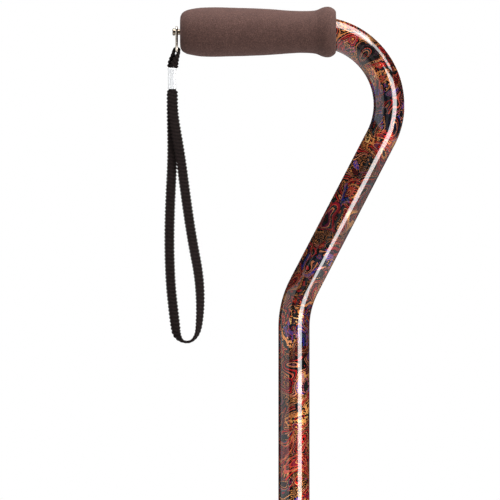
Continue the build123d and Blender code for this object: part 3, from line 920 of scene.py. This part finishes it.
# distance from the grip's lower end, and radius
grip_outline = [
    (0, 8.9), (0.35, 11.3), (1.8, 13.75), (4.6, 15.4), (7.5, 16.2), (11.7, 16.95), (16, 17.4),
    (24.6, 17.65), (33, 17.5), (41.6, 17.2), (50, 16.95), (58.7, 16.6), (67, 16.1), (76, 15.4),
    (84, 14.95), (88.6, 14.9), (93, 15.05), (97, 15.6), (101.5, 17.45), (104.3, 18.05),
    (107, 17.8), (109.3, 16.6), (110.6, 15.2), (111, 14.0), (110.7, 12.6), (109.9, 11.6),
]
fit_r = TUBE_R + 0.05
# radius and distance: the strap screw's hole, the outside, and the bore on the tube
grip_profile = [(2.15, 3.0), (2.15, 0.3), (2.4, 0.05), (5.6, 0.0)]
grip_profile += [(radius, run) for run, radius in smooth_profile(grip_outline, 12)]
grip_profile += [(fit_r, 108.8), (fit_r, 60.0), (fit_r, 3.4), (TUBE_R - 0.3, 3.0)]
grip = lathe("foam_hand_grip", grip_profile, 160, (GRIP_LOW_X, 0, HANDLE_Z), axis="X", sharp=75)
for vertex in grip.data.vertices:
    place = vertex.co / MM
    out = Vector((0, place.y, place.z - HANDLE_Z))
    if out.length > TUBE_R + 0.6 or place.x < GRIP_LOW_X + 0.5:
        lump = 0.10 * noise.noise(place * 0.09) + 0.05 * noise.noise(place * 0.6)
        lump += 0.035 * noise.noise(place * 1.7)
        out.normalize()
        vertex.co += out * lump * MM
finish(grip, foam, "foam", "handle", "foam_grip")

# ---- Rubber tips ---------------------------------------------------------------------

# radius and height: two grooves under the foot, the outside, and the socket for the leg
tip_outline = [
    (5.0, 0.0), (5.05, 1.15), (6.45, 1.15), (6.5, 0.0), (9.0, 0.0), (9.05, 1.15), (10.45, 1.15),
    (10.5, 0.0), (13.2, 0.0), (13.9, 0.2), (14.4, 0.7), (14.6, 1.4), (14.58, 2.2), (14.2, 9.0),
    (14.05, 9.8), (13.7, 10.3), (13.0, 10.45), (12.75, 10.7), (12.7, 11.3), (12.3, 16.0),
    (11.75, 22.5), (11.42, 26.2), (11.45, 26.7), (11.72, 27.1), (11.78, 27.9), (11.62, 28.6),
    (11.1, 28.95), (10.3, 29.0), (7.2, 29.0), (6.7, 28.8), (6.5, 28.3), (6.42, 27.2), (6.4, 8.0),
    (6.35, 7.95), (0.6, 7.95), (0.6, 6.5), (0.6, 0.6), (0.9, 0.0),
]
for foot, (sx, sy) in FEET.items():
    tip = lathe(f"{foot}_ferrule", tip_outline, 72, (sx * FOOT_X, sy * FOOT_Y, 0), sharp=35)
    finish(tip, rubber, "tip_rubber", "base", f"{foot}_tip")

# ---- Weld beads where the legs meet the plate ----------------------------------------

leg_run = np.array([FOOT_X, FOOT_Y - LEG_VERTEX_Y])
leg_run /= np.hypot(*leg_run)
for foot, (sx, sy) in FEET.items():
    way = leg_run * (sx, sy)
    aside = np.array([-way[1], way[0]])
    for number, hand in enumerate((-1, 1)):
        start = np.array([0, sy * LEG_VERTEX_Y]) + way * WELD_FROM_VERTEX
        start += aside * hand * WELD_ASIDE
        end = start + way * WELD_LENGTH
        ends = (*start, WELD_Z), (*end, WELD_Z)
        bead = weld_bead(f"{foot}_weld_{number}", *ends, seed=number + 3 * sx)
        finish(bead, gloss_black, "black_tube", "base")

# ---- CAD pieces that keep their shape ------------------------------------------------

kept = {
    gloss_black: [
        "front_leg_tube", "rear_leg_tube", "stem_tube", "hub_socket", "hub_bolt", "saddle_washer",
    ],
    satin_black: ["base_plate"],
    black_plastic: ["hub_locknut", "lock_nut", "collet_bushing"],
    inner_plastic: ["stem_guide", "grip_end_plug"],
    nickel: ["strap_link"],
    # the strap screw in darker nickel: painted shade
    shaded_nickel: ["strap_screw"],
    zinc: ["tip_washers", "stem_plug"],
    spring_steel: ["snap_spring"],
    plated_button: ["snap_button"],
}
for material, names in kept.items():
    for name in names:
        for place in nodes[name].material_slots:
            place.material = material

# ---- Floor, world and lights ---------------------------------------------------------

FLOOR_R = 2600.0
FLOOR_SIDES = 96
floor_turn = np.linspace(0, FULL_TURN, FLOOR_SIDES, endpoint=False)
floor_rings = [
    [(r * math.cos(t), r * math.sin(t), 0.0) for t in floor_turn] for r in (FLOOR_R, 1.0)
]
around_floor = np.linspace(0, 1, FLOOR_SIDES + 1)
floor = skin("floor", floor_rings, [0, 1], around_floor, caps=(False, True))


def floor_material():
    """A pale floor that fades out of the camera's sight towards its rim."""
    g = Graph("pale_floor", Roughness=0.6)
    place = g.place()
    away = g.node("VectorMath", operation="LENGTH")
    g.put(away.inputs[0], place)
    far = Value(g, away.outputs["Value"]) / FLOOR_R
    speck = g.noise(place, 0.02, 4.0)
    g.done(g.ramp(speck, [(0.3, rgb(205, 205, 204)), (0.7, rgb(210, 210, 209))]))
    seen = Value(g, g.node("LightPath").outputs["Is Camera Ray"])
    fade = g.ramp(far, [(0.12, (0, 0, 0, 1)), (0.46, (1, 1, 1, 1))], "EASE")
    clear = g.node("BsdfTransparent")
    blend = g.node("MixShader")
    output = next(n for n in g.tree.nodes if n.type == "OUTPUT_MATERIAL")
    g.put(blend.inputs[0], seen * fade)
    link = g.tree.links.new
    link(g.shader.outputs[0], blend.inputs[1])
    link(clear.outputs[0], blend.inputs[2])
    link(blend.outputs[0], output.inputs["Surface"])
    return g.material


floor.data.materials.append(floor_material())


def studio_world():
    """White where the camera looks, and a dim room for everything else."""
    world = bpy.data.worlds.new("studio")
    world.use_nodes = True
    tree = world.node_tree
    tree.nodes.clear()
    new, link = tree.nodes.new, tree.links.new
    out, pick_ray = new("ShaderNodeOutputWorld"), new("ShaderNodeMixShader")
    ray, toward = new("ShaderNodeLightPath"), new("ShaderNodeTexCoord")
    room, white = new("ShaderNodeBackground"), new("ShaderNodeBackground")
    parts, room_tone = new("ShaderNodeSeparateXYZ"), new("ShaderNodeMapRange")
    tones = {"From Min": -0.7, "From Max": 0.1, "To Min": 0.08, "To Max": 0.04}
    for name, value in tones.items():
        room_tone.inputs[name].default_value = value
    room.inputs[0].default_value = (0.96, 0.97, 1.0, 1)
    white.inputs[0].default_value = (1, 1, 1, 1)
    link(toward.outputs["Generated"], parts.inputs[0])
    link(parts.outputs["Y"], room_tone.inputs["Value"])
    link(room_tone.outputs[0], room.inputs[1])
    link(ray.outputs["Is Camera Ray"], pick_ray.inputs[0])
    link(room.outputs[0], pick_ray.inputs[1])
    link(white.outputs[0], pick_ray.inputs[2])
    link(pick_ray.outputs[0], out.inputs[0])
    return world


def softbox(name, place, target, size, power):
    """A rectangular light in watts, turned towards its target."""
    data = bpy.data.lights.new(name, "AREA")
    data.shape = "RECTANGLE"
    data.size, data.size_y = size
    data.energy = power
    made = add_object(name, data)
    made.location = place
    made.rotation_euler = (Vector(target) - Vector(place)).to_track_quat("-Z", "Y").to_euler()


bpy.context.scene.world = studio_world()
softbox("right_strip", (1.062, -1.108, 0.68), (0.0, 0.0, 0.66), (0.82, 1.2), 27.5)
softbox("upper_right", (1.0, -0.35, 1.75), (0.05, 0.0, 0.8), (0.5, 0.9), 9)
softbox("overhead", (0.0, -0.25, 2.2), (0.0, 0.0, 0.75), (2.4, 1.6), 74)
softbox("left_wall", (-1.4, -0.35, 0.6), (0.0, 0.0, 0.6), (2.4, 1.4), 9)
softbox("front_card", (-0.1, -3.9, 0.75), (0.0, 0.0, 0.7), (1.2, 1.4), 1.2)
softbox("back_fill", (0.3, 2.4, 1.3), (0.0, 0.0, 0.5), (1.6, 1.0), 10)

bpy.context.scene.view_settings.view_transform = "Standard"
